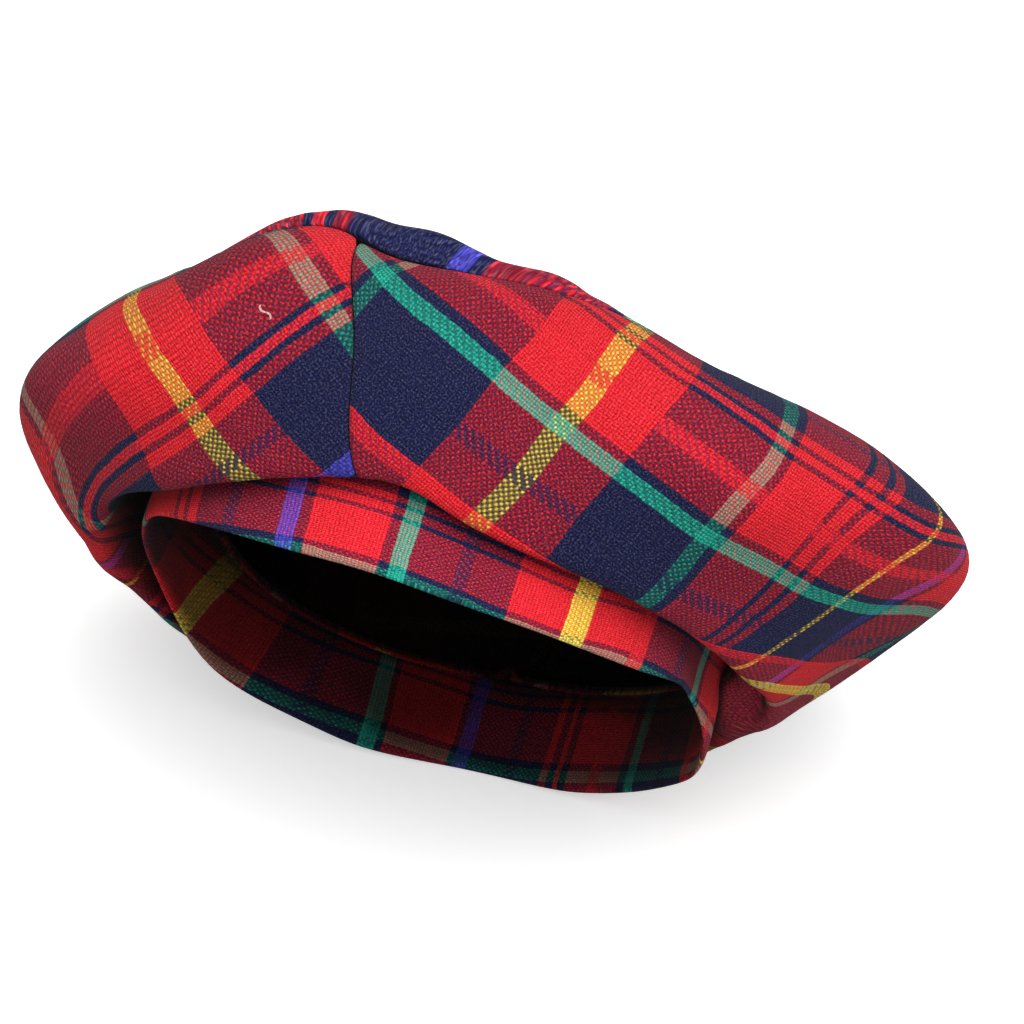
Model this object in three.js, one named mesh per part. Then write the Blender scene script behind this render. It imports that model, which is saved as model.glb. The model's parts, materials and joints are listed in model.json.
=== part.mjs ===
// Soft tartan cap without a peak, lying tipped back on its far side.
// A top panel and two side panels make a puffed crown, which is gathered on a folded band.
import * as THREE from 'three';

const { clamp, degToRad, euclideanModulo, lerp, radToDeg } = THREE.MathUtils;

// Sizes in millimetres, angles in degrees
const clothWall = 1.8;
const bandWall = 2.4;
const bandHeight = 36;
const headRadius = 95;
const seamGap = 0.3;
const topSeamGap = 0.42;
const foldRound = 4.5;

// How the cap lies: its lean, the height of its rim's middle, and how softly cloth meets the floor
const tipBack = 53.5;
const restHeight = 86;
const pressBlend = 5;

// Crown sections round the cap: 0 right, 90 far side, 180 left, 270 near side.
// rim is the band's lower edge, fold the low roll over the band, wide the fullest point,
// seam the edge of the top panel, and roll the swell of the top panel just inside that seam.
const sections = [
  { at: 0, rimUp: 3, foldOut: 112, foldUp: 6, wideOut: 158, wideUp: 66, seamOut: 108, seamUp: 96, roll: 4 },
  { at: 30, rimUp: -11, foldOut: 111, foldUp: 8, wideOut: 157, wideUp: 76, seamOut: 114, seamUp: 103, roll: 4 },
  { at: 60, rimUp: -16, foldOut: 110, foldUp: 3, wideOut: 160, wideUp: 78, seamOut: 132, seamUp: 103, roll: 6 },
  { at: 90, rimUp: -19, foldOut: 110, foldUp: 3, wideOut: 167, wideUp: 72, seamOut: 150, seamUp: 98, roll: 7 },
  { at: 120, rimUp: -22, foldOut: 116, foldUp: -8, wideOut: 172, wideUp: 64, seamOut: 150, seamUp: 88, roll: 7 },
  { at: 150, rimUp: -17, foldOut: 114, foldUp: -6, wideOut: 162, wideUp: 50, seamOut: 142, seamUp: 77, roll: 6 },
  { at: 180, rimUp: 0, foldOut: 110, foldUp: -3, wideOut: 152, wideUp: 37, seamOut: 130, seamUp: 72, roll: 5 },
  { at: 210, rimUp: 4, foldOut: 107, foldUp: 5, wideOut: 142, wideUp: 31, seamOut: 110, seamUp: 87, roll: 6 },
  { at: 240, rimUp: -3, foldOut: 104, foldUp: 6, wideOut: 121, wideUp: 42, seamOut: 90, seamUp: 99, roll: 14 },
  { at: 260, rimUp: -7, foldOut: 104, foldUp: 13, wideOut: 112, wideUp: 48, seamOut: 89, seamUp: 91, roll: 14 },
  { at: 278, rimUp: -8, foldOut: 104, foldUp: 18, wideOut: 111, wideUp: 50, seamOut: 90, seamUp: 91, roll: 6 },
  { at: 292, rimUp: -9, foldOut: 104, foldUp: 12, wideOut: 114, wideUp: 49, seamOut: 91, seamUp: 93, roll: 8 },
  { at: 310, rimUp: -8, foldOut: 105, foldUp: 10, wideOut: 124, wideUp: 48, seamOut: 93, seamUp: 94, roll: 3 },
  { at: 330, rimUp: -5, foldOut: 107, foldUp: 10, wideOut: 140, wideUp: 53, seamOut: 98, seamUp: 91, roll: 3 },
];

// The seams between the side panels run up the crown and sweep aside towards the top panel
const nearSeam = { foot: 271, head: 249 };
const farSeam = { foot: 90, head: 96 };
const seamSweep = 1.4;

// Side panel between its stations, as shares of the way from one to the next
const lowerSwell = 0.3;
const shoulder = { out: 0.42, up: 0.7 };

// Top panel: its middle, the slopes of its plane to the right and to the far side, its sag,
// and the crest of its roll as a share of the way in from the seam
const topMiddle = { x: -4, y: 34, up: 90 };
const topSlope = { right: 0.13, far: 0.02 };
const topSag = 5;
const rollCrest = 0.11;

// Facets: steps round the whole cap, up a side panel, up the band, and rings of the top panel
const roundSteps = 84;
const sideRows = 18;
const bandRows = 4;
const topRings = 9;
const ringCrowding = 1.8;

// Value of one column at any angle, smooth all the way round
function around(column, angle) {
  const count = sections.length;
  const turn = euclideanModulo(angle, 360);
  let i = 0;
  while (i + 1 < count && sections[i + 1].at <= turn) i += 1;
  const row = (k) => sections[euclideanModulo(k, count)];
  const place = (k) => row(k).at + 360 * Math.floor(k / count);
  const slope = (k) => (row(k + 1)[column] - row(k - 1)[column]) / (place(k + 1) - place(k - 1));
  const span = place(i + 1) - place(i);
  const t = (turn - place(i)) / span;
  const from = row(i)[column];
  const to = row(i + 1)[column];
  const rise = t * t * (3 - 2 * t);
  const leave = slope(i) * span * t * (1 - t) * (1 - t);
  const arrive = slope(i + 1) * span * t * t * (t - 1);
  return from + (to - from) * rise + leave + arrive;
}

// A point of the upright cap, out from the middle of its rim and up its axis
function capPoint(out, angle, up) {
  return new THREE.Vector3(out * Math.cos(degToRad(angle)), out * Math.sin(degToRad(angle)), up);
}

// The cap leans back, and cloth that would pass through the floor lies flat on it
const lean = new THREE.Matrix4().makeRotationX(-degToRad(tipBack)).setPosition(0, 0, restHeight);

function lieDown(point, wall) {
  const laid = point.clone().applyMatrix4(lean);
  const floor = wall / 2;
  const above = laid.z - floor;
  if (above <= -pressBlend) laid.z = floor;
  else if (above < pressBlend) laid.z = floor + (above + pressBlend) ** 2 / (4 * pressBlend);
  return laid;
}

function topPlaneUp(point) {
  const right = (point.x - topMiddle.x) * topSlope.right;
  const far = (point.y - topMiddle.y) * topSlope.far;
  return topMiddle.up + right + far;
}

// Top panel, from its seam (inward 0) to its middle (inward 1)
function topPoint(angle, inward) {
  const edge = capPoint(around('seamOut', angle), angle, around('seamUp', angle));
  const lift = edge.z - topPlaneUp(edge);
  const point = edge.lerp(new THREE.Vector3(topMiddle.x, topMiddle.y, 0), inward);
  const along = inward / rollCrest;
  const roll = around('roll', angle) * along * Math.exp(1 - along);
  const sag = topSag * (1 - (1 - inward) ** 2);
  point.z = topPlaneUp(point) + lift * (1 - inward) ** 2 + roll - sag;
  return point;
}

// Side panel, from the band (rise 0) out over the fold and the fullest point to the top seam (rise 1)
function sidePoint(angle, rise) {
  const bandTop = around('rimUp', angle) + bandHeight + seamGap + clothWall / 2;
  const fold = { out: around('foldOut', angle), up: around('foldUp', angle) };
  const wide = { out: around('wideOut', angle), up: around('wideUp', angle) };
  const seam = { out: around('seamOut', angle), up: around('seamUp', angle) };
  const inside = topPoint(angle, rollCrest / 2);
  const stations = [
    [headRadius - 2 * foldRound, bandTop],
    [headRadius, bandTop + 2 * seamGap],
    [fold.out - foldRound, Math.max(bandTop - clothWall, fold.up + foldRound)],
    [fold.out, fold.up],
    [lerp(fold.out, wide.out, lowerSwell) + foldRound / 2, lerp(fold.up, wide.up, lowerSwell)],
    [wide.out, wide.up],
    [lerp(wide.out, seam.out, shoulder.out), lerp(wide.up, seam.up, shoulder.up)],
    [seam.out, seam.up],
    [Math.hypot(inside.x, inside.y), inside.z],
  ];
  const line = new THREE.SplineCurve(stations.map(([out, up]) => new THREE.Vector2(out, up)));
  const last = stations.length - 1;
  const spot = line.getPoint((1 + rise * (last - 2)) / last);
  return capPoint(spot.x, angle, spot.y);
}

function bandPoint(angle, rise) {
  return capPoint(headRadius, angle, around('rimUp', angle) + rise * bandHeight);
}

// Angle at a share of the way across a side panel, clear of the seams at its two edges.
// Below the fold, a third of the way up, the seams run straight.
function panelAngle(start, end, share, rise) {
  const sweep = clamp((rise - 1 / 3) / (2 / 3), 0, 1) ** seamSweep;
  const clear = radToDeg(seamGap / 2 / headRadius);
  const from = lerp(start.foot, start.head, sweep) + clear;
  const to = lerp(end.foot, end.head, sweep) - clear;
  return lerp(from, to, share);
}

// Closed wall of cloth on a surface of two shares, u across and v along.
// A ring joins its two ends, and a lid is a ring that ends in a single middle point.
function clothShell(surface, across, along, wall, form) {
  const isRing = form !== 'strip';
  const isLid = form === 'lid';
  const columns = isRing ? across : across + 1;
  const lastRow = along.length - 1;
  const nudge = 1e-4;
  const laid = (u, v) => lieDown(surface(u, v), wall);
  const positions = [];
  const triangles = [];
  const addWall = (point, normal) => {
    const half = normal.clone().multiplyScalar(wall / 2);
    positions.push(...point.clone().add(half).toArray());
    positions.push(...point.clone().sub(half).toArray());
  };
  along.forEach((v) => {
    for (let i = 0; i < columns; i += 1) {
      const u = i / across;
      const [left, right] = isRing ? [u - nudge, u + nudge] : [Math.max(u - nudge, 0), Math.min(u + nudge, 1)];
      const acrossStep = laid(right, v).sub(laid(left, v));
      const alongStep = laid(u, Math.min(v + nudge, 1)).sub(laid(u, Math.max(v - nudge, 0)));
      addWall(laid(u, v), acrossStep.cross(alongStep).normalize());
    }
  });
  const outer = (i, j) => 2 * (j * columns + (i % columns));
  const inner = (i, j) => outer(i, j) + 1;
  const quad = (a, b, c, d) => triangles.push(a, b, c, a, c, d);
  for (let i = 0; i < across; i += 1) {
    for (let j = 0; j < lastRow; j += 1) {
      quad(outer(i, j), outer(i + 1, j), outer(i + 1, j + 1), outer(i, j + 1));
      quad(inner(i, j + 1), inner(i + 1, j + 1), inner(i + 1, j), inner(i, j));
    }
    quad(inner(i, 0), inner(i + 1, 0), outer(i + 1, 0), outer(i, 0));
    if (!isLid) quad(outer(i, lastRow), outer(i + 1, lastRow), inner(i + 1, lastRow), inner(i, lastRow));
  }
  if (!isRing) {
    for (let j = 0; j < lastRow; j += 1) {
      quad(outer(0, j + 1), inner(0, j + 1), inner(0, j), outer(0, j));
      quad(inner(across, j), inner(across, j + 1), outer(across, j + 1), outer(across, j));
    }
  }
  if (isLid) {
    const middle = positions.length / 3;
    addWall(laid(0, 1), new THREE.Vector3(-topSlope.right, -topSlope.far, 1).transformDirection(lean));
    for (let i = 0; i < across; i += 1) {
      triangles.push(outer(i, lastRow), outer(i + 1, lastRow), middle);
      triangles.push(inner(i + 1, lastRow), inner(i, lastRow), middle + 1);
    }
  }
  const geometry = new THREE.BufferGeometry();
  geometry.setAttribute('position', new THREE.Float32BufferAttribute(positions, 3));
  geometry.setIndex(triangles);
  return geometry;
}

function evenRows(count) {
  return Array.from({ length: count + 1 }, (_, k) => k / count);
}

// Rings of the top panel, crowded towards its seam, the first a seam gap in from it
function topRows() {
  const start = topSeamGap / headRadius;
  return Array.from({ length: topRings }, (_, k) => start + (1 - start) * (k / topRings) ** ringCrowding);
}

function clothPiece(name, geometry, colour) {
  const material = new THREE.MeshStandardMaterial({ color: colour, roughness: 0.92, metalness: 0 });
  const mesh = new THREE.Mesh(geometry, material);
  mesh.name = name;
  return mesh;
}

function sidePanel(name, start, end, colour) {
  const surface = (u, v) => sidePoint(panelAngle(start, end, u, v), v);
  return clothPiece(name, clothShell(surface, roundSteps / 2, evenRows(sideRows), clothWall, 'strip'), colour);
}

function crownTop() {
  const surface = (u, v) => topPoint(360 * u, v);
  return clothPiece('crown_top', clothShell(surface, roundSteps, topRows(), clothWall, 'lid'), 0x7d1b2b);
}

function headBand() {
  const surface = (u, v) => bandPoint(360 * u, v);
  return clothPiece('band', clothShell(surface, roundSteps, evenRows(bandRows), bandWall, 'ring'), 0x8c2230);
}

const farSeamAgain = { foot: farSeam.foot + 360, head: farSeam.head + 360 };
const cap = new THREE.Group();
cap.add(sidePanel('side_left', farSeam, nearSeam, 0x95202c));
cap.add(sidePanel('side_right', nearSeam, farSeamAgain, 0x95202c));
cap.add(crownTop());
cap.add(headBand());

// The origin is on the floor, under the middle of the cap's reach
const reach = new THREE.Box3().setFromObject(cap);
const middle = reach.getCenter(new THREE.Vector3());
cap.position.set(-middle.x, -middle.y, 0);

export default cap;
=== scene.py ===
import json
import math
import bpy
import numpy as np
from mathutils import Matrix, Vector, noise
from mathutils.bvhtree import BVHTree
from mathutils.kdtree import KDTree

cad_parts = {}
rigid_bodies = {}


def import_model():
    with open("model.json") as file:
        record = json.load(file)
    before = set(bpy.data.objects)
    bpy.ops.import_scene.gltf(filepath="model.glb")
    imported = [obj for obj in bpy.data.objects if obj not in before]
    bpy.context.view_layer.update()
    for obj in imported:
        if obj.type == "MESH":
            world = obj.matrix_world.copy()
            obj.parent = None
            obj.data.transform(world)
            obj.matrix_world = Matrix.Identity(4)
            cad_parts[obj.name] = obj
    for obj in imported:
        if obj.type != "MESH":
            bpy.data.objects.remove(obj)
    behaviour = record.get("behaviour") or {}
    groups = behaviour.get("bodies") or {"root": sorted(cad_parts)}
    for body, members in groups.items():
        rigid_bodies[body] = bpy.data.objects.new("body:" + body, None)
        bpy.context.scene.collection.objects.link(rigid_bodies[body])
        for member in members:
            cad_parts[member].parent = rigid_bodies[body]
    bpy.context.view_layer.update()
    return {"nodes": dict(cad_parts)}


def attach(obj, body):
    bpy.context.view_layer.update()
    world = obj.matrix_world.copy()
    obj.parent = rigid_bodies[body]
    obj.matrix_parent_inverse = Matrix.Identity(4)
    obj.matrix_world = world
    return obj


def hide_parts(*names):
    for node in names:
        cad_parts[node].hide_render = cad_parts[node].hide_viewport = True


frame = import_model()
print("frame loaded")

# camera and light
shot = {
    "from": (0.3895, -0.9296, 0.8075),
    "to": (0.0149, -0.0206, 0.1192),
    "lens": 133.0, "sensor": 36.0,  # mm
    "pixels": 1024, "nearest": 0.01,
}
camData = bpy.data.cameras.new("shotCamera")
camData.lens = shot["lens"]
camData.clip_start = shot["nearest"]
shotCamera = bpy.data.objects.new("shotCamera", camData)
bpy.context.scene.collection.objects.link(shotCamera)
shotCamera.location = shot["from"]
shotCamera.rotation_euler = (Vector(shot["to"]) - Vector(shot["from"])).to_track_quat("-Z", "Y").to_euler()
bpy.context.scene.camera = shotCamera
ahead = (Vector(shot["to"]) - Vector(shot["from"])).normalized()
rightWay = ahead.cross(Vector((0, 0, 1))).normalized()
upWay = rightWay.cross(ahead)
focal = shot["lens"] / shot["sensor"] * shot["pixels"]  # in picture points
pictureMiddle = shot["pixels"] / 2

bpy.context.scene.view_settings.view_transform = "Standard"

studio = {
    "dim": 0.16, "bright": 4.0, "focus": 5.5,  # sky near the floor, towards the light, and how fast it fades
    "lightFrom": (0.40, -0.32, 1.0),
    "lamp": {"place": (0.3, -0.5, 1.5), "aim": (0.0, 0.0, 0.1), "size": 0.7, "watts": 2.0},
    "floorSize": 24.0, "paper": 0.92, "paperBounce": 0.40, "paperGlow": 0.48, "paperRough": 0.9,
}
sky = bpy.data.worlds.new("studioSky")
sky.use_nodes = True
skyNodes, skyLinks = sky.node_tree.nodes, sky.node_tree.links
toward = skyNodes.new("ShaderNodeTexCoord")
facing = skyNodes.new("ShaderNodeVectorMath")
facing.operation = "DOT_PRODUCT"
facing.inputs[1].default_value = Vector(studio["lightFrom"]).normalized()
skyLinks.new(toward.outputs["Generated"], facing.inputs[0])
above = skyNodes.new("ShaderNodeMath")
above.operation = "MAXIMUM"
above.inputs[1].default_value = 0
skyLinks.new(facing.outputs["Value"], above.inputs[0])
fade = skyNodes.new("ShaderNodeMath")
fade.operation = "POWER"
fade.inputs[1].default_value = studio["focus"]
skyLinks.new(above.outputs[0], fade.inputs[0])
glow = skyNodes.new("ShaderNodeMath")
glow.operation = "MULTIPLY_ADD"
glow.inputs[1].default_value = studio["bright"]
glow.inputs[2].default_value = studio["dim"]
skyLinks.new(fade.outputs[0], glow.inputs[0])
skyNodes["Background"].inputs["Color"].default_value = (1, 1, 1, 1)
skyLinks.new(glow.outputs[0], skyNodes["Background"].inputs["Strength"])
bpy.context.scene.world = sky
lampData = bpy.data.lights.new("softBox", "AREA")
lampData.shape = "DISK"
lampData.size = studio["lamp"]["size"]
lampData.energy = studio["lamp"]["watts"]
lamp = bpy.data.objects.new("softBox", lampData)
bpy.context.scene.collection.objects.link(lamp)
lamp.location = studio["lamp"]["place"]
lamp.rotation_euler = (Vector(studio["lamp"]["aim"]) - lamp.location).to_track_quat("-Z", "Y").to_euler()
bpy.ops.object.select_all(action="DESELECT")
bpy.ops.mesh.primitive_plane_add(size=studio["floorSize"], location=(0, 0, 0))
floor = bpy.context.object
floor.name = "studioFloor"
floorMat = bpy.data.materials.new("palePaper")
floorMat.use_nodes = True
floorNodes, floorLinks = floorMat.node_tree.nodes, floorMat.node_tree.links
paper = floorNodes["Principled BSDF"]
paper.inputs["Roughness"].default_value = studio["paperRough"]
paper.inputs["Emission Color"].default_value = (1, 1, 1, 1)
# bright paper to look at, that throws less light back up under the cap
rayKind = floorNodes.new("ShaderNodeLightPath")
floorLevels = (("Base Color", studio["paper"], studio["paperBounce"]),
               ("Emission Strength", studio["paperGlow"], 0.0))
for socket, seen, bounced in floorLevels:
    level = floorNodes.new("ShaderNodeMath")
    level.operation = "MULTIPLY_ADD"
    level.inputs[1].default_value = seen - bounced
    level.inputs[2].default_value = bounced
    floorLinks.new(rayKind.outputs["Is Camera Ray"], level.inputs[0])
    floorLinks.new(level.outputs[0], paper.inputs[socket])
floor.data.materials.append(floorMat)
print("camera and light set")


# shared steps
def pick(piece):
    bpy.ops.object.select_all(action="DESELECT")
    bpy.context.view_layer.objects.active = piece
    piece.select_set(True)


# nothing selected, ready to pick elements in code
def clearElements(piece, kind):
    pick(piece)
    bpy.ops.object.mode_set(mode="EDIT")
    bpy.ops.mesh.select_mode(type=kind)
    bpy.ops.mesh.select_all(action="DESELECT")
    bpy.ops.object.mode_set(mode="OBJECT")


def applyModifier(piece, kind, **settings):
    pick(piece)
    bpy.ops.object.modifier_add(type=kind)
    modifier = piece.modifiers[-1]
    for key, value in settings.items():
        setattr(modifier, key, value)
    bpy.ops.object.modifier_apply(modifier=modifier.name)


# the solid's mesh as a clean cage of quads
def copyNode(node, pieceName):
    piece = bpy.data.objects.new(pieceName, frame["nodes"][node].data.copy())
    bpy.context.scene.collection.objects.link(piece)
    piece.data.materials.clear()
    pick(piece)
    bpy.ops.object.mode_set(mode="EDIT")
    bpy.ops.mesh.select_all(action="SELECT")
    bpy.ops.mesh.remove_doubles(threshold=1e-5)
    bpy.ops.mesh.customdata_custom_splitnormals_clear()
    bpy.ops.mesh.tris_convert_to_quads(face_threshold=math.pi, shape_threshold=math.pi,
                                       topology_influence=1.6)
    bpy.ops.object.mode_set(mode="OBJECT")
    return piece


# drop the inner face, so that the outer face and its turned edge are left
def openInside(piece, wall, outsidePoint):
    mesh = piece.data
    seed = piece.closest_point_on_mesh(Vector(outsidePoint))[3]
    spot = [v.co for v in mesh.vertices]
    nearWall = 3e-7  # edges as long as the wall is thick run through it
    across = {e.key for e in mesh.edges
              if abs((spot[e.vertices[0]] - spot[e.vertices[1]]).length - wall) < nearWall}
    clearElements(piece, "FACE")
    for face in mesh.polygons:
        face.select = any(key in across for key in face.edge_keys)
    bpy.ops.object.mode_set(mode="EDIT")
    bpy.ops.mesh.hide()
    bpy.ops.object.mode_set(mode="OBJECT")
    mesh.polygons[seed].select = True
    bpy.ops.object.mode_set(mode="EDIT")
    bpy.ops.mesh.select_linked()
    bpy.ops.mesh.select_all(action="INVERT")
    bpy.ops.mesh.delete(type="FACE")
    bpy.ops.mesh.reveal()
    bpy.ops.object.mode_set(mode="OBJECT")
    print(piece.name, "opened,", len(mesh.polygons), "faces")


# how many faces use each edge, and the vertices of the edges that only one uses
def edgeUses(mesh):
    uses = {}
    for face in mesh.polygons:
        for key in face.edge_keys:
            uses[key] = uses.get(key, 0) + 1
    return uses, {v for key, count in uses.items() if count == 1 for v in key}


# free edge vertices of an opened panel, each with the corner it turns from
def turnedEdge(piece):
    uses, free = edgeUses(piece.data)
    return [(key[0], key[1]) if key[1] in free else (key[1], key[0])
            for key in uses if (key[0] in free) != (key[1] in free)]


# depth of the turned edges, how near panels must be to meet, how deep they tuck into the band,
# how crisp the fold is, and neighbours to look through
seams = {"depth": 0.005, "reach": 0.004, "tuck": 0.0007, "sharp": 0.55, "around": 40}


# both panels turn their edges in and meet on one line, and the lower edges tuck into the band
def turnSeams(panels, foot):
    rows = []
    for piece in panels:
        spot = piece.data.vertices
        for corner, end in turnedEdge(piece):
            at = spot[corner].co.copy()
            rows.append((piece, end, at, (spot[end].co - at).normalized()))
    tree = KDTree(len(rows))
    for i, row in enumerate(rows):
        tree.insert(row[2], i)
    tree.balance()
    for piece, end, at, way in rows:
        others = ((gap, i) for _, i, gap in tree.find_n(at, seams["around"]) if rows[i][0] is not piece)
        far, beside = min(others, default=(1, None))
        _, place, normal, _ = foot.closest_point_on_mesh(at)
        if far < max(seams["reach"], (place - at).length):
            _, _, besideAt, besideWay = rows[beside]
            inward = (way + besideWay).normalized()
            piece.data.vertices[end].co = (at + besideAt) / 2 + inward * seams["depth"]
        else:
            piece.data.vertices[end].co = place - normal * seams["tuck"]


# where a point of the picture falls on a piece, seen through the camera
def seenAt(tree, px, py):
    ray = ahead * focal + rightWay * (px - pictureMiddle) - upWay * (py - pictureMiddle)
    return tree.ray_cast(Vector(shot["from"]), ray.normalized())


def treeOf(pieces):
    spots, faces = [], []
    for piece in pieces:
        first = len(spots)
        spots += [v.co.copy() for v in piece.data.vertices]
        faces += [tuple(first + i for i in f.vertices) for f in piece.data.polygons]
    return BVHTree.FromPolygons(spots, faces)


# how far each vertex lies from its piece's free edge
def edgeGap(piece):
    ends = turnedEdge(piece)
    tree = KDTree(len(ends))
    for i, (corner, _) in enumerate(ends):
        tree.insert(piece.data.vertices[corner].co, i)
    tree.balance()
    return [tree.find(v.co)[2] for v in piece.data.vertices]


seamHold = 0.007  # metres from a held edge over which a pull sets in


# pull the cloth at a point of the picture, fading out round it
def grab(pieces, px, py, move, size, holdEdge):
    place = seenAt(treeOf(pieces), px, py)[0]
    if place is None:
        print("nothing to grab at", px, py)
        return
    way = (rightWay * move[0] + upWay * move[1] - ahead * move[2]) / 1000
    for piece in pieces:
        gaps = edgeGap(piece) if holdEdge else None
        for i, v in enumerate(piece.data.vertices):
            share = math.exp(-((v.co - place).length / size) ** 2)
            if holdEdge:
                share *= 1 - math.exp(-(gaps[i] / seamHold) ** 2)
            v.co += way * share


# a thin plate bent through the pinned values, read at other places
def bentPlate(at, values, stiff, places):
    unit = 0.1

    def bend(p, q):
        far = np.linalg.norm(p[:, None] - q[None], axis=2) / unit
        return far ** 2 * np.log(far + 1e-9)

    plane = np.column_stack([np.ones(len(at)), at / unit])
    whole = np.block([[bend(at, at) + np.diag(stiff), plane], [plane.T, np.zeros((3, 3))]])
    solved = np.linalg.solve(whole, np.concatenate([values, np.zeros(3)]))
    level = np.column_stack([np.ones(len(places)), places / unit])
    return bend(places, at) @ solved[:-3] + level @ solved[-3:]


# cloth coordinates in metres, as the piece lies flat
def flatMap(piece, unwrap):
    pick(piece)
    mesh = piece.data
    if not mesh.uv_layers:
        mesh.uv_layers.new(name="cloth")
    mesh.uv_layers.active.name = "cloth"
    if unwrap:
        bpy.ops.object.mode_set(mode="EDIT")
        bpy.ops.mesh.select_all(action="SELECT")
        bpy.ops.uv.unwrap(method="MINIMUM_STRETCH", iterations=40, margin=0.0,
                          fill_holes=False, correct_aspect=False)
        bpy.ops.object.mode_set(mode="OBJECT")
    flat = np.array([d.uv for d in mesh.uv_layers["cloth"].data], float)
    if unwrap:  # as long along its edges as the real piece
        corners = np.array([loop.vertex_index for loop in mesh.loops])
        spots = np.array([v.co for v in mesh.vertices])
        nexts = np.arange(len(corners)) + 1
        for face in mesh.polygons:
            nexts[face.loop_start + face.loop_total - 1] = face.loop_start
        real = np.linalg.norm(spots[corners] - spots[corners[nexts]], axis=1)
        drawn = np.linalg.norm(flat - flat[nexts], axis=1)
        flat *= real.sum() / drawn.sum()
    return flat


# where the stripe crossings of the picture fall on the flat cloth
def pinCrossings(piece, crossings, flat):
    mesh = piece.data
    tree = treeOf((piece,))
    pins = []
    for px, py, warp, weft in crossings:
        place, _, index, _ = seenAt(tree, px, py)
        if place is None:
            print(piece.name, "crossing misses", px, py)
            continue
        loops = list(mesh.polygons[index].loop_indices)
        corners = np.array([mesh.vertices[mesh.loops[i].vertex_index].co for i in loops])
        share = 1 / (np.linalg.norm(corners - np.array(place), axis=1) + 1e-5) ** 2
        share /= share.sum()
        pins.append((sum(flat[i] * s for i, s in zip(loops, share)), warp, weft, (px, py)))
    return pins


# the flat cloth turned to its stripes, then eased so that they cross where the picture's do
def layCloth(piece, chart):
    flat = flatMap(piece, chart["unwrap"])
    pins = pinCrossings(piece, chart["crossings"], flat)
    pitch = wool["pitch"]
    sure = [p for p in pins if p[1] is not None and p[2] is not None]
    fromFlat = np.array([p[0] for p in sure])
    toCloth = np.array([[p[1] * pitch, p[2] * pitch] for p in sure])
    middleFlat, middleCloth = fromFlat.mean(0), toCloth.mean(0)
    u, _, vt = np.linalg.svd((fromFlat - middleFlat).T @ (toCloth - middleCloth))
    turn = u @ np.diag([1, chart["hand"] * np.sign(np.linalg.det(u @ vt))]) @ vt
    cloth = (flat - middleFlat) @ turn + middleCloth
    pinned = np.array([(p[0] - middleFlat) @ turn + middleCloth for p in pins])
    eased = cloth.copy()
    for axis in (0, 1):
        known = [k for k, p in enumerate(pins) if p[1 + axis] is not None]
        at = pinned[known]
        miss = np.array([pins[k][1 + axis] * pitch for k in known]) - at[:, axis]
        stiff = [chart["stiff"]] * len(known)
        # far from every pin the cloth keeps to its flat shape
        for _ in range(chart["anchors"]):
            gaps = np.linalg.norm(cloth[:, None] - at[None], axis=2).min(1)
            far = gaps.argmax()
            if gaps[far] < chart["reach"]:
                break
            at = np.vstack([at, cloth[far]])
            miss = np.append(miss, 0)
            stiff.append(1.0)
        eased[:, axis] += bentPlate(at, miss, stiff, cloth)
        stillOff = miss - bentPlate(at, miss, stiff, at)
        for k, before, after in zip(known, miss, stillOff):
            if abs(after) > 1.5 * pitch:
                threads = round(before / pitch, 1), round(after / pitch, 1)
                print(piece.name, "axis", axis, "pin", pins[k][3], "off by threads", *threads)
    piece.data.uv_layers["cloth"].data.foreach_set("uv", eased.astype(np.float32).ravel())
    print(piece.name, "cloth laid over", np.round(np.ptp(eased, axis=0), 3).tolist(), "m")


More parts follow.
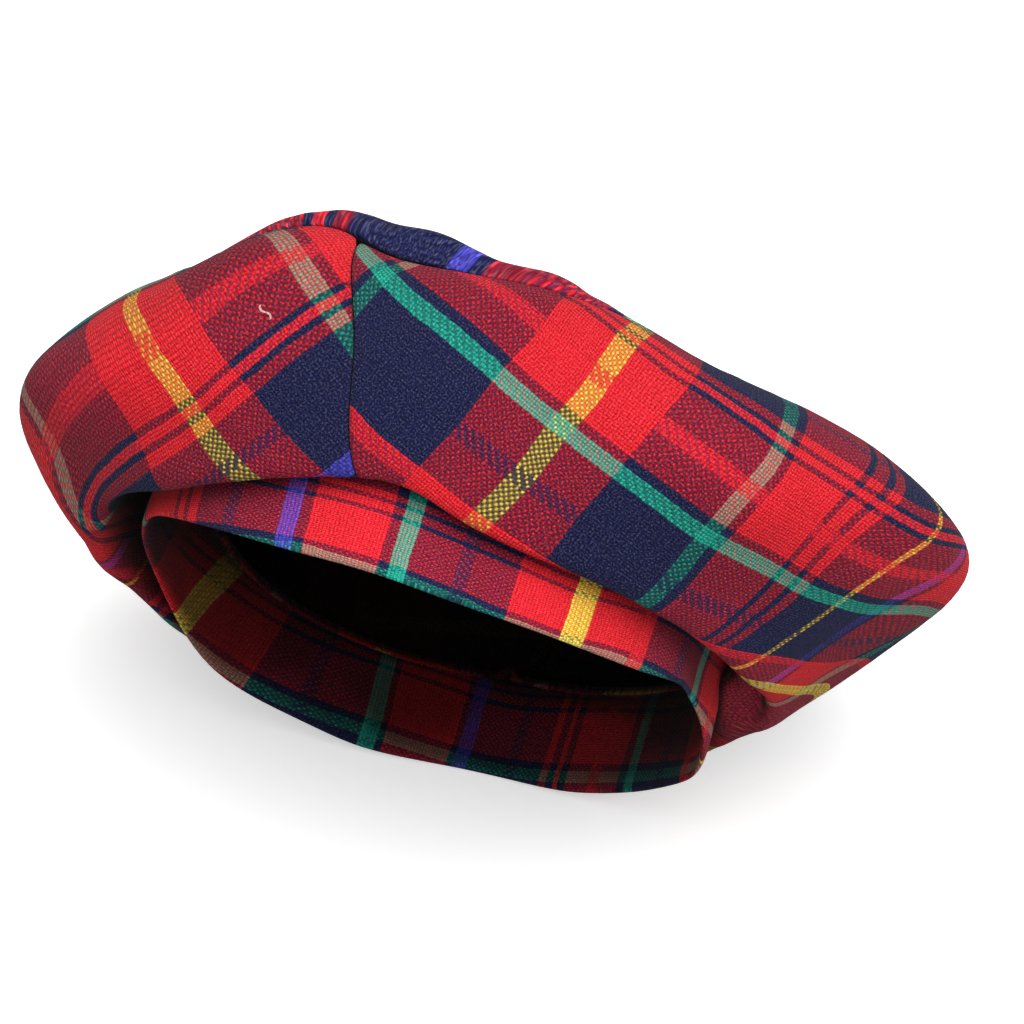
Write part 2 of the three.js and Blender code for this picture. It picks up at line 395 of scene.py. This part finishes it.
# woven tartan, thread by thread: dye, count, and for the warp whether the threads float over the weft
wool = {
    "pitch": 0.00135, "thread": 0.00112,  # metres: the unit of the stripes, and from thread to thread
    "warp": [("yellow", 5, 1), ("red", 12, 0), ("red", 4, 1), ("navy", 10, 0), ("navy", 4, 1),
             ("navy", 11.5, 0), ("green", 4, 1), ("navy", 3, 0), ("red", 8.5, 0), ("red", 4, 1),
             ("red", 9, 0), ("navy", 2, 0), ("red", 2, 1), ("navy", 2, 0), ("red", 3, 0), ("navy", 8, 0),
             ("navy", 4, 1), ("navy", 11, 0), ("blue", 4, 1), ("navy", 2, 0), ("red", 18, 0), ("navy", 2, 0),
             ("green", 4, 1), ("navy", 11, 0), ("navy", 4, 1), ("navy", 10, 0), ("red", 15, 0)],
    "weft": [("yellow", 5), ("red", 14), ("navy", 21.5), ("green", 4), ("navy", 2.5), ("red", 17),
             ("navy", 2), ("red", 3), ("navy", 2), ("red", 3), ("navy", 10.1), ("yellow", 0.8),
             ("navy", 12.1), ("blue", 4), ("navy", 2), ("red", 18), ("navy", 2.5), ("green", 4),
             ("navy", 35.5), ("red", 18)],
    "dyes": {"red": (0.80, 0.013, 0.025), "navy": (0.009, 0.011, 0.060), "green": (0.010, 0.36, 0.26),
             "yellow": (0.90, 0.62, 0.07), "blue": (0.06, 0.055, 0.47)},
    "cover": 0.52, "floatCover": 0.33,  # share of warp on the face, and what a float adds
    # how far a dot stands out, and what bright dyes, floats and two bright dyes together change
    "dots": 0.55, "brightDots": 0.7, "floatDots": -0.10, "pairDots": -0.42,
    "roundness": 0.65, "bright": 0.05, "floatEvery": 3.0,  # dot shape, least grey of a bright dye, and weave
    "gloom": 0.30, "floatGloom": -0.8, "hairsAndGlint": 0.28,  # navy dulls what it crosses, and pale fibres on top, partly the wool's own fuzz and partly painted highlight
    "wander": ((90, 2, 0.0009), (750, 1, 0.0008)),  # scale, detail and metres that the threads stray
    "fuzz": (1500, 4), "worn": (38, 2),  # scale and detail
    # brightness of dots (painted shade where each thread dips at its edges), fibres, worn patches and dye
    # lots: how much it varies, and the least
    "threadLight": (0.95, 0.40), "fuzzLight": (1.1, 0.45), "wornLight": (0.22, 0.89),
    "dyeLots": (0.22, 0.89),
    "relief": {"deep": 0.0005, "strength": 0.6, "fuzz": 0.6, "lint": 1.5},
    "rough": 0.9, "specular": 0.12, "sheen": 0.05, "sheenRough": 0.4,
}
lint = {
    "at": (-0.0462, -0.0673, 0.2067), "along": (0.78, -0.63, -0.06), "up": (-0.2, -0.5, 0.85),
    "length": 0.0078, "thick": 0.0007, "curl": 900.0, "sway": 0.0006,
    "cover": 0.85, "dye": (0.74, 0.52, 0.46),
}


def clothMaterial():
    mat = bpy.data.materials.new("woolTartan")
    mat.use_nodes = True
    tree = mat.node_tree
    nodes, links = tree.nodes, tree.links
    shader = nodes["Principled BSDF"]

    def feed(node, values):
        for socket, value in zip(node.inputs, values):
            if isinstance(value, (int, float, tuple)):
                socket.default_value = value
            else:
                links.new(value, socket)

    def maths(operation, *values):
        node = nodes.new("ShaderNodeMath")
        node.operation = operation
        feed(node, values)
        return node.outputs[0]

    def vectors(operation, *values):
        node = nodes.new("ShaderNodeVectorMath")
        node.operation = operation
        feed(node, values)
        return node.outputs["Value"] if operation in ("DOT_PRODUCT", "LENGTH") else node.outputs[0]

    def blend(kind, share, first, second):
        node = nodes.new("ShaderNodeMix")
        node.data_type = "RGBA"
        node.blend_type = kind
        for name, value in (("Factor", share), ("A", first), ("B", second)):
            if isinstance(value, (int, float, tuple)):
                node.inputs[name].default_value = value
            else:
                links.new(value, node.inputs[name])
        return node.outputs["Result"]

    def grain(scale, detail, place):
        node = nodes.new("ShaderNodeTexNoise")
        node.inputs["Scale"].default_value = scale
        node.inputs["Detail"].default_value = detail
        links.new(place, node.inputs["Vector"])
        return node.outputs

    # one ramp stop per stripe, its alpha telling if the stripe floats
    def sett(rows, threadNo):
        total = sum(r[1] for r in rows)
        ramp = nodes.new("ShaderNodeValToRGB")
        ramp.color_ramp.interpolation = "CONSTANT"
        stops = ramp.color_ramp.elements
        start = 0
        for k, (dye, count, *floats) in enumerate(rows):
            stop = stops[k] if k < 2 else stops.new(start / total)
            stop.position = start / total
            stop.color = (*wool["dyes"][dye], float(any(floats)))
            start += count
        unit = wool["pitch"] / wool["thread"]
        repeat = maths("FRACT", maths("DIVIDE", maths("ADD", threadNo, 0.5), total * unit))
        links.new(repeat, ramp.inputs["Fac"])
        chance = nodes.new("ShaderNodeTexWhiteNoise")
        chance.noise_dimensions = "1D"
        links.new(threadNo, chance.inputs["W"])
        uneven = maths("MULTIPLY_ADD", chance.outputs["Value"], *wool["dyeLots"])
        return blend("MULTIPLY", 1.0, ramp.outputs["Color"], uneven), ramp.outputs["Alpha"]

    coords = nodes.new("ShaderNodeUVMap")
    coords.uv_map = "cloth"
    uv = coords.outputs["UV"]
    wander = uv
    for scale, detail, stray in wool["wander"]:
        wander = vectors("MULTIPLY_ADD", grain(scale, detail, uv)["Color"], (stray, stray, 0.0), wander)
    split = nodes.new("ShaderNodeSeparateXYZ")
    links.new(wander, split.inputs[0])
    across, along = [maths("DIVIDE", split.outputs[k], wool["thread"]) for k in (0, 1)]
    warpNo, weftNo = maths("FLOOR", across), maths("FLOOR", along)
    warpDye, warpFloat = sett(wool["warp"], warpNo)
    weftDye, _ = sett(wool["weft"], weftNo)

    # navy threads dull the bright ones that they cross, except under floats
    depths = []
    for dye in (warpDye, weftDye):
        grey = nodes.new("ShaderNodeRGBToBW")
        links.new(dye, grey.inputs[0])
        depths.append(grey.outputs[0])
    darker, lighter = maths("MINIMUM", *depths), maths("MAXIMUM", *depths)
    oneDark = maths("LESS_THAN", darker, wool["bright"])
    mixed = maths("MULTIPLY", oneDark, maths("GREATER_THAN", lighter, wool["bright"]))
    mixed = maths("MULTIPLY", mixed, maths("MULTIPLY_ADD", warpFloat, wool["floatGloom"], 1.0))
    dull = maths("MULTIPLY_ADD", mixed, -wool["gloom"], 1.0)

    # dots of the thread on top, round and soft at their edges
    waves = [maths("SINE", maths("MULTIPLY", way, math.pi)) for way in (across, along)]
    bead = maths("MULTIPLY", *waves)
    rounded = maths("POWER", maths("ABSOLUTE", bead), wool["roundness"])
    plain = maths("GREATER_THAN", bead, 0.0)
    rare = maths("LESS_THAN", maths("FLOORED_MODULO", maths("ADD", warpNo, weftNo), wool["floatEvery"]), 0.5)
    often = maths("SUBTRACT", 1.0, rare)
    plainTop = maths("MULTIPLY", plain, maths("SUBTRACT", 1.0, warpFloat))
    onTop = maths("ADD", plainTop, maths("MULTIPLY", often, warpFloat))
    mean = maths("MULTIPLY_ADD", warpFloat, wool["floatCover"], wool["cover"])
    stand = maths("MINIMUM", maths("MULTIPLY_ADD", lighter, wool["brightDots"], wool["dots"]), 1.0)
    stand = maths("MULTIPLY_ADD", warpFloat, wool["floatDots"], stand)
    bothBright = maths("GREATER_THAN", darker, wool["bright"])
    stand = maths("MULTIPLY", stand, maths("MULTIPLY_ADD", bothBright, wool["pairDots"], 1.0))
    share = maths("MULTIPLY_ADD", maths("SUBTRACT", onTop, mean), maths("MULTIPLY", rounded, stand), mean)
    cloth = blend("MIX", share, weftDye, warpDye)

    # wool fibres, slightly worn patches, and a fleck of lint
    fuzz = grain(*wool["fuzz"], uv)["Fac"]
    worn = grain(*wool["worn"], uv)["Fac"]
    # painted shade: each thread's dot is darker towards its edges, where it dips between crossings
    light = maths("MULTIPLY_ADD", rounded, *wool["threadLight"])
    light = maths("MULTIPLY", light, maths("MULTIPLY_ADD", fuzz, *wool["fuzzLight"]))
    light = maths("MULTIPLY", light, dull)
    light = maths("MULTIPLY", light, maths("MULTIPLY_ADD", worn, *wool["wornLight"]))
    shade = nodes.new("ShaderNodeAttribute")
    shade.attribute_name = "shade"
    # pale fibres on top: partly the wool's own pale fuzz, partly painted highlight where fibres catch light
    hairsAndGlint = maths("MAXIMUM", maths("MULTIPLY_ADD", fuzz, wool["hairsAndGlint"], -0.5 * wool["hairsAndGlint"]), 0.0)
    cloth = blend("ADD", 1.0, blend("MULTIPLY", 1.0, cloth, light), hairsAndGlint)
    # painted shade: the cloth colour is multiplied by the attribute shade
    cloth = blend("MULTIPLY", 1.0, cloth, shade.outputs["Fac"])
    lintWay = Vector(lint["along"]).normalized()
    aside = Vector(lint["up"]).cross(lintWay).normalized()
    place = nodes.new("ShaderNodeTexCoord")
    offset = vectors("SUBTRACT", place.outputs["Object"], lint["at"])
    onward = vectors("DOT_PRODUCT", offset, tuple(lintWay))
    sway = maths("MULTIPLY", maths("SINE", maths("MULTIPLY", onward, lint["curl"])), lint["sway"])
    beside = maths("ABSOLUTE", maths("SUBTRACT", vectors("DOT_PRODUCT", offset, tuple(aside)), sway))
    inLength = maths("LESS_THAN", vectors("LENGTH", offset), lint["length"] / 2)
    strand = maths("MULTIPLY", maths("LESS_THAN", beside, maths("MULTIPLY", fuzz, lint["thick"])), inLength)
    cloth = blend("MIX", maths("MULTIPLY", strand, lint["cover"]), cloth, (*lint["dye"], 1.0))
    links.new(cloth, shader.inputs["Base Color"])

    relief = nodes.new("ShaderNodeBump")
    relief.inputs["Distance"].default_value = wool["relief"]["deep"]
    relief.inputs["Strength"].default_value = wool["relief"]["strength"]
    raised = maths("MULTIPLY_ADD", fuzz, wool["relief"]["fuzz"], rounded)
    raised = maths("ADD", raised, maths("MULTIPLY", strand, wool["relief"]["lint"]))
    links.new(raised, relief.inputs["Height"])
    links.new(relief.outputs["Normal"], shader.inputs["Normal"])
    shader.inputs["Roughness"].default_value = wool["rough"]
    shader.inputs["Specular IOR Level"].default_value = wool["specular"]
    shader.inputs["Sheen Weight"].default_value = wool["sheen"]
    shader.inputs["Sheen Roughness"].default_value = wool["sheenRough"]
    return mat


tartan = clothMaterial()
print("tartan woven")

# crossings: picture x, y, then the place in the warp list and in the weft list
right = {
    "wall": 0.0018, "outside": (0.5, -0.1, 0.1),
    "unwrap": True, "hand": -1, "stiff": 0.004, "anchors": 5, "reach": 0.09,
    "crossings": [(384, 276, 48.5, -55.5), (561, 429, 48.5, 2.5), (711, 537, 48.5, 42.5),
                  (367, 258, 48.5, None), (410, 302, 48.5, None), (440, 328, 48.5, None),
                  (470, 353, 48.5, None), (497, 377, 48.5, None), (530, 403, 48.5, None),
                  (590, 453, 48.5, None), (615, 472, 48.5, None), (640, 490, 48.5, None),
                  (675, 514, 48.5, None), (745, 560, 48.5, None), (785, 580, 48.5, None),
                  (815, 593, 48.5, None), (847, 601, 48.5, 84.5), (880, 607, 48.5, None),
                  (907, 609, 48.5, None), (515, 300, 64, None), (690, 445, 64, None), (720, 468, 64, None),
                  (745, 487, 64, None), (850, 552, 64, None), (740, 418, 76, None), (775, 444, 76, None),
                  (800, 462, 76, None), (835, 482, 76, None), (851, 493, 76, 65), (893, 515, 76, None),
                  (915, 532, 76, None), (935, 543, 76, 84.5), (360, 414, 21, None), (384, 440, 21, None),
                  (422, 469, 21, None), (470, 437, 33, None), (500, 462, 33, None), (545, 492, 33, None),
                  (572, 512, 33, None), (700, 600, 33, None), (560, 305, None, -18), (535, 335, None, -18),
                  (508, 362, None, -18), (457, 425, None, -18), (425, 465, None, -18), (628, 333, None, 2.5),
                  (612, 360, None, 2.5), (590, 392, None, 2.5), (540, 455, None, 2.5), (520, 480, None, 2.5),
                  (490, 512, None, 2.5), (690, 398, None, 19), (660, 432, None, 19), (612, 482, None, 19),
                  (580, 518, None, 19), (552, 552, None, 19), (780, 459, None, 42.5), (760, 480, None, 42.5),
                  (732, 513, None, 42.5), (695, 555, None, 42.5), (682, 573, None, 42.5),
                  (797, 468, None, 47), (770, 500, None, 47), (738, 533, None, 47), (838, 492, None, 64),
                  (812, 527, None, 64), (786, 557, None, 64), (825, 535, None, 67.5), (835, 547, None, 72.5),
                  (765, 620, None, 72.5), (910, 556, None, 84.5), (880, 577, None, 84.5),
                  (815, 622, None, 84.5), (770, 655, None, 84.5), (735, 668, None, 84.5),
                  (728, 652, 21, None), (765, 658, 21, None), (805, 662, 21, None), (851, 661, 21, None),
                  (728, 673, 2.5, None), (750, 680, 2.5, None), (773, 683, 2.5, None), (800, 689, 2.5, None),
                  (820, 684, 2.5, None), (742, 697, -8, None), (773, 701, -8, None), (736, 720, -10, None),
                  (827, 641, None, 98.5), (853, 627, None, 103.5), (872, 654, None, 124)],
}
left = {
    "wall": 0.0018, "outside": (-0.5, -0.1, 0.15),
    "unwrap": True, "hand": 1, "stiff": 0.004, "anchors": 5, "reach": 0.09,
    "crossings": [(328, 304, 78, 42.5), (190, 408, 78, 2.5), (270, 345, 78, None), (232, 373, 78, None),
                  (150, 440, 78, None), (110, 470, 78, None), (86, 496, 78, None), (205, 375, 72, None),
                  (150, 350, 64, 2.5), (265, 265, 64, None), (230, 290, 64, None), (200, 309, 64, None),
                  (92, 386, 64, None), (72, 413, 64, None), (57, 438, 64, None), (125, 306, 56.5, 2.5),
                  (170, 283, 56.5, None), (230, 250, 55, None), (85, 330, 57, None), (55, 350, 57, None),
                  (38, 370, 57, None), (300, 355, 84, None), (275, 375, 84, None), (255, 393, 84, 19),
                  (258, 443, 94, None), (225, 470, 94, None), (345, 457, 107, None), (140, 335, None, 2.5),
                  (162, 368, None, 2.5), (176, 390, None, 2.5), (203, 432, None, 2.5), (219, 453, None, 2.5),
                  (240, 474, None, 2.5), (178, 290, None, 19), (203, 330, None, 19), (225, 362, None, 19),
                  (282, 428, None, 19), (318, 466, None, 19), (284, 238, None, 42.5), (303, 266, None, 42.5),
                  (316, 285, None, 42.5), (341, 326, None, 42.5), (98, 378, None, -18),
                  (115, 405, None, -18), (133, 433, None, -18), (52, 370, None, -36), (70, 396, None, -36),
                  (85, 420, None, -36), (95, 450, None, -36), (28, 399, None, -55.5), (45, 424, None, -55.5),
                  (57, 445, None, -55.5), (64, 465, None, -55.5), (67, 488, None, -55.5),
                  (33, 399, None, -53.5), (23.5, 399, None, -57.5), (49.5, 424, None, -53.5),
                  (41, 424, None, -57.5), (61, 445, None, -53.5), (53, 445, None, -57.5),
                  (68, 465, None, -53.5), (60, 465, None, -57.5)],
}
top = {
    "wall": 0.0018, "outside": (-0.007, 0.44, 0.41),
    "unwrap": True, "hand": 1, "stiff": 0.01, "anchors": 6, "reach": 0.07,
    "crossings": [(313, 225, 76, 79), (328, 225, 80, 79), (404, 255, 96, 80), (462, 262, 109, 80),
                  (350, 226, 84, None), (453, 259, 107, None), (384, 227, None, 74), (422, 236, None, 74),
                  (448, 249, None, 74), (512, 270, 117, 79), (530, 277, 119, 79), (585, 293, 126, 79),
                  (276, 224, 70, 79), (236, 243, 62, 79)],
}
band = {
    "unwrap": False, "hand": 1, "stiff": 0.01, "anchors": 3, "reach": 0.12,
    "tip": 53.5, "join": 20, "rim": (-0.00262, -0.05304, 0.086), "radius": 0.095,  # degrees and metres
    "crossings": [(292, 517, 109, 55), (404, 545, 135, 55), (579, 620, 179.5, 55), (393, 577, 135, 42.5),
                  (299, 490, 109, None), (285, 540, 109, None), (417, 508, 135, None),
                  (572, 641, 179.5, None), (181, 513, 78, None), (308, 548, None, 42.5),
                  (471, 605, None, 42.5), (538, 627, None, 42.5), (608, 652, None, 42.5),
                  (650, 668, None, 42.5), (230, 527, None, 46), (180, 516, None, 47), (380, 680, -42, None),
                  (370, 730, -42, 42.5), (236, 560, 2.5, None), (215, 582, 2.5, None), (187, 611, 2.5, None),
                  (213, 657, None, 42.5), (264, 690, None, 42.5), (560, 775, None, 43),
                  (697, 674, 225.5, None), (240, 582, None, 69), (326, 634, None, 69), (392, 656, None, 69),
                  (446, 676, None, 69), (505, 694, None, 69), (600, 698, None, 69), (670, 700, None, 69)],
}

# soft unevenness of worn cloth, and small puckers along the seams
soft = {
    "wave": 0.034, "lift": 0.0011, "ripple": 0.013, "rippleLift": 0.0004,
    "pucker": 0.0085, "puckerLift": 0.0007,
    "turn": 0.005, "calm": 0.010, "puckerAt": 0.0035, "puckerIn": 0.002,  # turned edge, and strips beside it
    "floorGap": 0.0002, "thick": 0.0016, "levels": 2,
}


def rumple(piece):
    mesh = piece.data
    free = edgeUses(mesh)[1]
    tree = KDTree(len(free))
    for i in free:
        tree.insert(mesh.vertices[i].co, i)
    tree.balance()
    moves = []
    for v in mesh.vertices:
        gap = max(tree.find(v.co)[2] - soft["turn"], 0)
        inner = 1 - math.exp(-(gap / soft["calm"]) ** 2)
        wave, ripple = noise.noise(v.co / soft["wave"]), noise.noise(v.co / soft["ripple"])
        lift = inner * (soft["lift"] * wave + soft["rippleLift"] * ripple)
        pucker = math.exp(-((gap - soft["puckerAt"]) / soft["puckerAt"]) ** 2)
        pucker *= min(gap / soft["puckerIn"], 1)
        lift += pucker * soft["puckerLift"] * noise.noise(v.co / soft["pucker"])
        moves.append(v.normal * lift)
    for v, move in zip(mesh.vertices, moves):
        v.co += move
        v.co.z = max(v.co.z, soft["floorGap"])  # lies on the floor, not under it


# how much of the lit side of the room each bit of cloth sees, kept as the attribute shade, which is painted
# into the cloth's colour as shade in creases, under folds and in the hollow
shadeLook = {
    "rays": 20, "reach": 0.30, "start": 0.0018, "even": 0.15, "focus": 3,
    "low": 0.05, "drop": 0.10, "full": 0.42, "power": 2.0, "blur": 3,
    "hollow": (0.0, -0.012, 0.105), "inside": 0.50,  # middle of the hollow, and light kept on what faces it: painted shade inside the hollow
    "bandLow": 0.70, "bandPaintedLight": 0.28,  # painted light: the front of the band is kept light and lifted above its own colour under the fold
    "rollPaintedLight": 0.45, "rollFrom": 0.180, "rollFull": 0.205,  # painted light: the roll of the top is made lighter the higher it lies, as if it caught more light
}


# evenly spread ways out over half a ball
def fanOfRays(count):
    turnBy = math.pi * (3 - math.sqrt(5))
    fan = []
    for k in range(count):
        away = math.sqrt((k + 0.5) / count)
        fan.append((away * math.cos(k * turnBy), away * math.sin(k * turnBy), math.sqrt(1 - away * away)))
    return fan


# share of the light that reaches each vertex, and what is kept of it inside the hollow
def lightOn(mesh, tree, fan):
    toLight = Vector(studio["lightFrom"]).normalized()
    hollow = Vector(shadeLook["hollow"])
    reach = shadeLook["reach"]
    seen, kept = np.zeros(len(mesh.vertices)), np.ones(len(mesh.vertices))
    for i, v in enumerate(mesh.vertices):
        up = v.normal
        side = up.orthogonal().normalized()
        other = up.cross(side)
        begin = v.co + up * shadeLook["start"]
        openLight, allLight = 0.0, 0.0
        for a, b, c in fan:
            way = side * a + other * b + up * c
            weight = shadeLook["even"] + max(way.dot(toLight), 0) ** shadeLook["focus"]
            allLight += weight
            if way.z < 0 and begin.z < -way.z * reach:  # the floor is in the way
                continue
            if tree.ray_cast(begin, way, reach)[0] is None:
                openLight += weight
        seen[i] = openLight / allLight
        # painted shade: what faces the hollow's middle keeps only part of its colour
        inward = hollow - begin
        if inward.dot(up) > 0 and tree.ray_cast(begin, inward.normalized(), inward.length)[0] is None:
            kept[i] = shadeLook["inside"]
    return seen, kept


# each vertex takes the mean of itself and its neighbours
def evenOut(mesh, level):
    ends = np.array([e.vertices[:] for e in mesh.edges])
    count = 1 + np.bincount(ends.ravel(), minlength=len(level))
    for _ in range(shadeLook["blur"]):
        total = level.copy()
        for p, q in ((0, 1), (1, 0)):
            np.add.at(total, ends[:, p], level[ends[:, q]])
        level = total / count
    return level


# painted light and shade: the attribute shade darkens the cloth colour where little light reaches, and
# lightens the band front and the top roll
def addShade(pieces):
    tree = treeOf(pieces)
    fan = fanOfRays(shadeLook["rays"])
    for piece in pieces:
        mesh = piece.data
        seen, kept = [evenOut(mesh, level) for level in lightOn(mesh, tree, fan)]
        span = shadeLook["full"] - shadeLook["drop"]
        lit = np.clip((seen - shadeLook["drop"]) / span, 0, 1) ** shadeLook["power"]
        low, lift = shadeLook["low"], 0.0
        # painted light on the band's outside: less painted shade, and a lift above its own colour
        if piece.name == "headBand":
            outside = np.clip((kept - shadeLook["inside"]) / (1 - shadeLook["inside"]), 0, 1)
            low = low + (shadeLook["bandLow"] - low) * outside
            lift = shadeLook["bandPaintedLight"] * outside
        # painted light: the top roll is made lighter towards its highest part
        if piece.name == "topPanel":
            height = np.array([v.co.z for v in mesh.vertices])
            rise = shadeLook["rollFull"] - shadeLook["rollFrom"]
            lift = shadeLook["rollPaintedLight"] * np.clip((height - shadeLook["rollFrom"]) / rise, 0, 1)
        value = (low + (1 - low) * lit) * kept * (1 + lift)
        mesh.attributes.new("shade", "FLOAT", "POINT").data.foreach_set("value", value.astype(np.float32))


# crisp fold along the turned edges
def tightenSeams(piece):
    corners = {corner for corner, _ in turnedEdge(piece)}
    clearElements(piece, "EDGE")
    for edge in piece.data.edges:
        edge.select = edge.vertices[0] in corners and edge.vertices[1] in corners
    bpy.ops.object.mode_set(mode="EDIT")
    bpy.ops.transform.edge_crease(value=seams["sharp"])
    bpy.ops.mesh.select_mode(type="VERT")
    bpy.ops.object.mode_set(mode="OBJECT")


# bunched cloth fills the groove beside the band's end, up to a slanting plane
bunch = {
    "at": (750, 694), "wide": 66, "high": 68,  # in the picture
    "depth": 1.186, "slope": 0.00075, "back": 0.06, "hold": 0.004, "smooth": 3,
}


def fillGroove(piece):
    gaps = edgeGap(piece)
    eye = Vector(shot["from"])
    moved = []
    for v in piece.data.vertices:
        ray = v.co - eye
        far = ray.dot(ahead)
        px = pictureMiddle + ray.dot(rightWay) / far * focal
        py = pictureMiddle - ray.dot(upWay) / far * focal
        out = ((px - bunch["at"][0]) / bunch["wide"]) ** 2 + ((py - bunch["at"][1]) / bunch["high"]) ** 2
        aim = bunch["depth"] + bunch["slope"] * (py - bunch["at"][1])
        if out < 1 and aim < far < aim + bunch["back"]:
            share = min(2 * (1 - out), 1) * (1 - math.exp(-(gaps[v.index] / bunch["hold"]) ** 2))
            v.co += ray * ((aim - far) / far * share)
            moved.append(v.index)
    clearElements(piece, "VERT")
    for i in moved:
        piece.data.vertices[i].select = gaps[i] > bunch["hold"]
    bpy.ops.object.mode_set(mode="EDIT")
    bpy.ops.mesh.vertices_smooth(factor=0.5, repeat=bunch["smooth"])
    bpy.ops.object.mode_set(mode="OBJECT")
    print("groove filled,", len(moved), "points")


rightPanel = copyNode("side_right", "rightPanel")
leftPanel = copyNode("side_left", "leftPanel")
topPanel = copyNode("crown_top", "topPanel")
headBand = copyNode("band", "headBand")
for piece, chart in ((rightPanel, right), (leftPanel, left), (topPanel, top)):
    openInside(piece, chart["wall"], chart["outside"])
turnSeams((rightPanel, leftPanel, topPanel), headBand)
fillGroove(rightPanel)
nudges = [  # pieces, picture x, y, then right, up and near in mm, size in m, edge held
    ((leftPanel, rightPanel), 344, 345, (5.4, 0, 0), 0.024, False),
    ((leftPanel, topPanel), 150, 280, (0, -6.8, 0), 0.030, False),
    ((leftPanel,), 45, 366, (-2.5, 1.0, 0), 0.018, False),
    ((leftPanel, topPanel), 258, 246, (0, 3.0, 0), 0.024, False),
    ((topPanel,), 262, 250, (0, 5.0, 0), 0.026, True),
    ((topPanel,), 420, 246, (0, 3.5, 0), 0.016, True),
    ((topPanel,), 455, 262, (0, 5.5, 0), 0.018, True),
    ((topPanel,), 520, 280, (0, 4.0, 0), 0.024, True),
    ((rightPanel, topPanel), 678, 346, (0, -2.3, 0), 0.022, False),
    ((rightPanel,), 850, 444, (0, 2.2, 0), 0.035, False),
    ((rightPanel,), 785, 716, (0, 5.0, 0), 0.026, False),
    ((rightPanel,), 945, 598, (1.0, -2.4, 0), 0.015, False),
    ((leftPanel,), 32, 405, (-0.5, 2.0, 0), 0.014, False),
    ((headBand,), 690, 755, (2.0, -2.0, 0), 0.016, False),
    ((leftPanel,), 140, 606, (0, 4.5, 0), 0.022, True),
    ((leftPanel,), 66, 490, (-2.0, -6.0, 0), 0.014, True),
    ((headBand,), 300, 722, (0, 2.5, 0), 0.030, False),
    ((headBand,), 720, 668, (-6.5, 0, 0), 0.022, False),
]
for pieces, px, py, move, size, holdEdge in nudges:
    grab(pieces, px, py, move, size, holdEdge)
for piece, chart in ((rightPanel, right), (leftPanel, left), (topPanel, top)):
    layCloth(piece, chart)
    tightenSeams(piece)
    applyModifier(piece, "SUBSURF", levels=soft["levels"], render_levels=soft["levels"])
    rumple(piece)
    applyModifier(piece, "SOLIDIFY", thickness=soft["thick"], offset=-1)
    piece.data.materials.append(tartan)
    pick(piece)
    bpy.ops.object.shade_smooth()

# the band's cloth runs round it, from its rim upwards inside and out
if not headBand.data.uv_layers:
    headBand.data.uv_layers.new(name="cloth")
layer = headBand.data.uv_layers.active
layer.name = "cloth"
join = math.radians(band["join"])
upright = Matrix.Rotation(math.radians(band["tip"]), 4, "X") @ Matrix.Translation(-Vector(band["rim"]))
for face in headBand.data.polygons:
    middle = upright @ face.center
    centre = (math.atan2(middle.y, middle.x) - join) % math.tau
    for loop in face.loop_indices:
        p = upright @ headBand.data.vertices[headBand.data.loops[loop].vertex_index].co
        angle = (math.atan2(p.y, p.x) - join) % math.tau
        angle += math.tau * round((centre - angle) / math.tau)
        layer.data[loop].uv = (angle * band["radius"], p.z)
layCloth(headBand, band)
applyModifier(headBand, "SUBSURF", levels=soft["levels"], render_levels=soft["levels"])
headBand.data.materials.append(tartan)
pick(headBand)
bpy.ops.object.shade_smooth()
print("panels and band made")
addShade((rightPanel, leftPanel, topPanel, headBand))
print("shade laid on")

replaced = ((leftPanel, "side_left"), (rightPanel, "side_right"),
            (topPanel, "crown_top"), (headBand, "band"))
for piece, node in replaced:
    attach(piece, "root")
    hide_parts(node)
